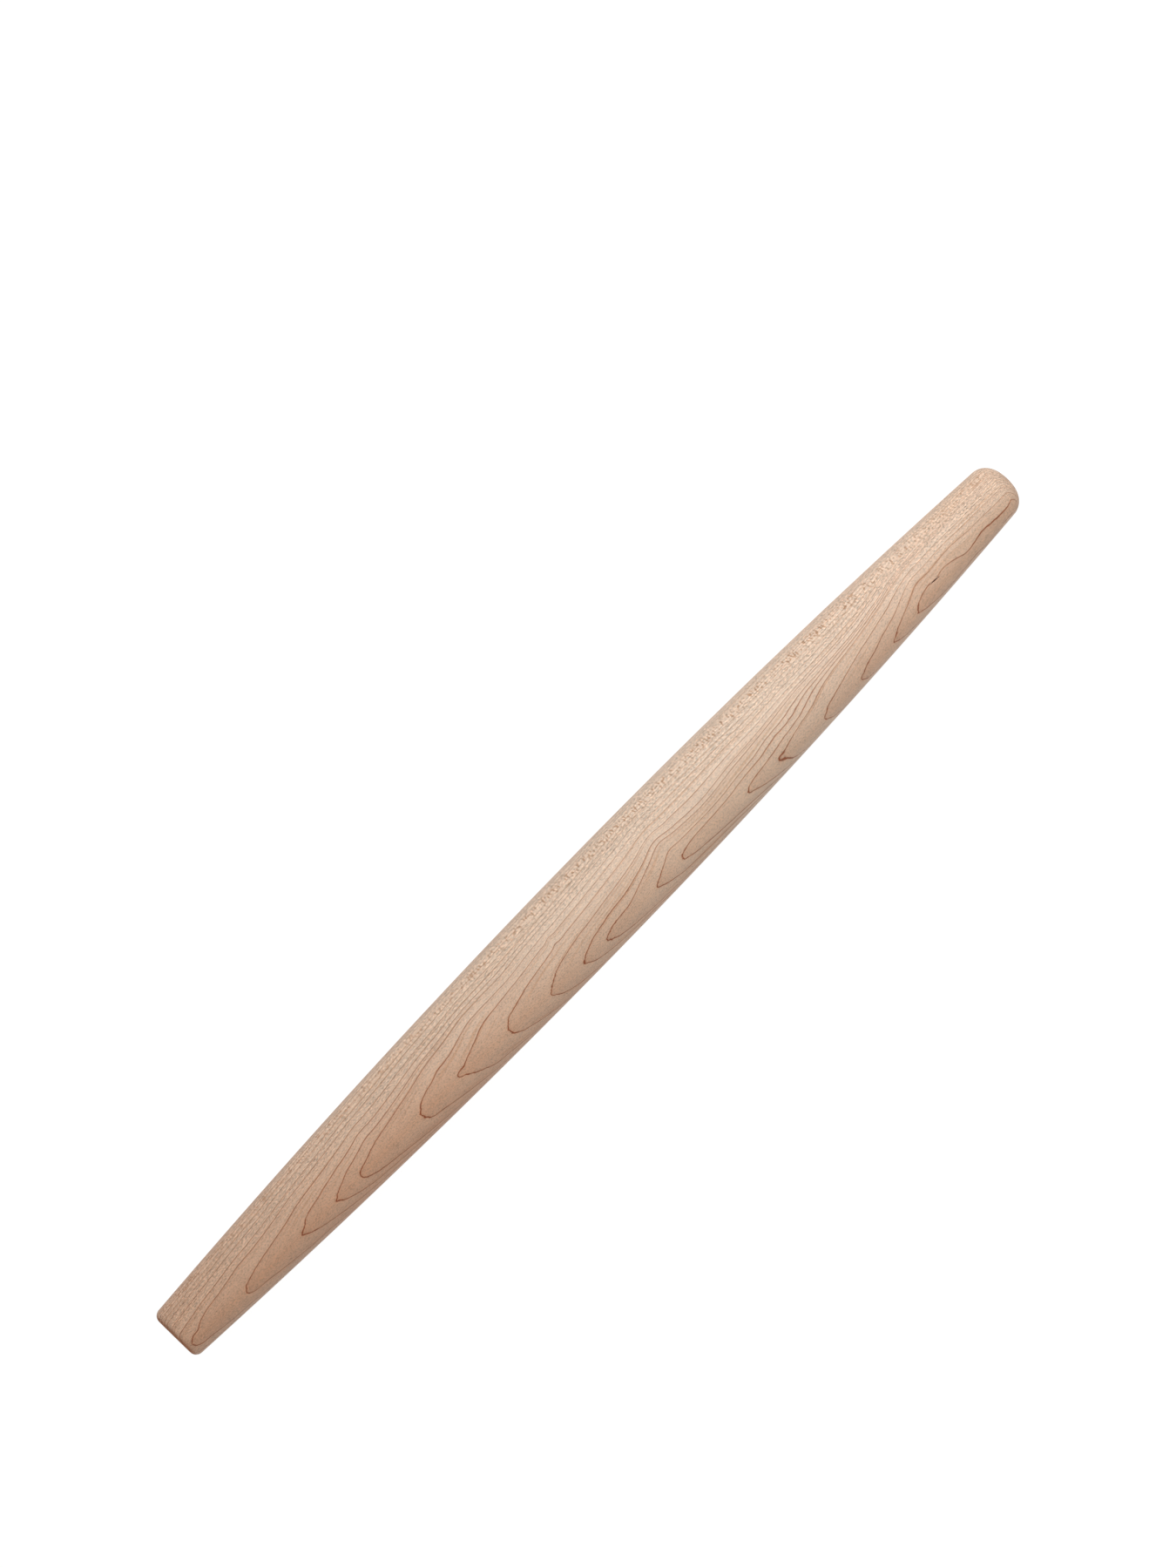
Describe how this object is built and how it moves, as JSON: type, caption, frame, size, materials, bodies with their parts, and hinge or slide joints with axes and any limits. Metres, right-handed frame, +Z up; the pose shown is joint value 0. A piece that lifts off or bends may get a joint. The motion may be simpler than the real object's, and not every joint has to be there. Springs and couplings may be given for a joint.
{
  "type": "french rolling pin",
  "caption": "Tapered wooden rolling pin with no handles, turned in one piece, thick in the middle and slim at the ends, for rolling out dough.",
  "frame": {"origin": "the point on the table under the middle of the pin's length, at the bottom of its box", "axes": "+X along the pin's axis, towards the end with the well rounded rim; +Y across the pin, level; +Z up from the table"},
  "size_m": [0.5334, 0.0434, 0.0435],
  "materials": {
    "maple": "sanded smooth and left bare, with a faint satin from oil and use"
  },
  "bodies": {
    "root": {"rolling_pin": "maple"}
  },
  "joints": []
}
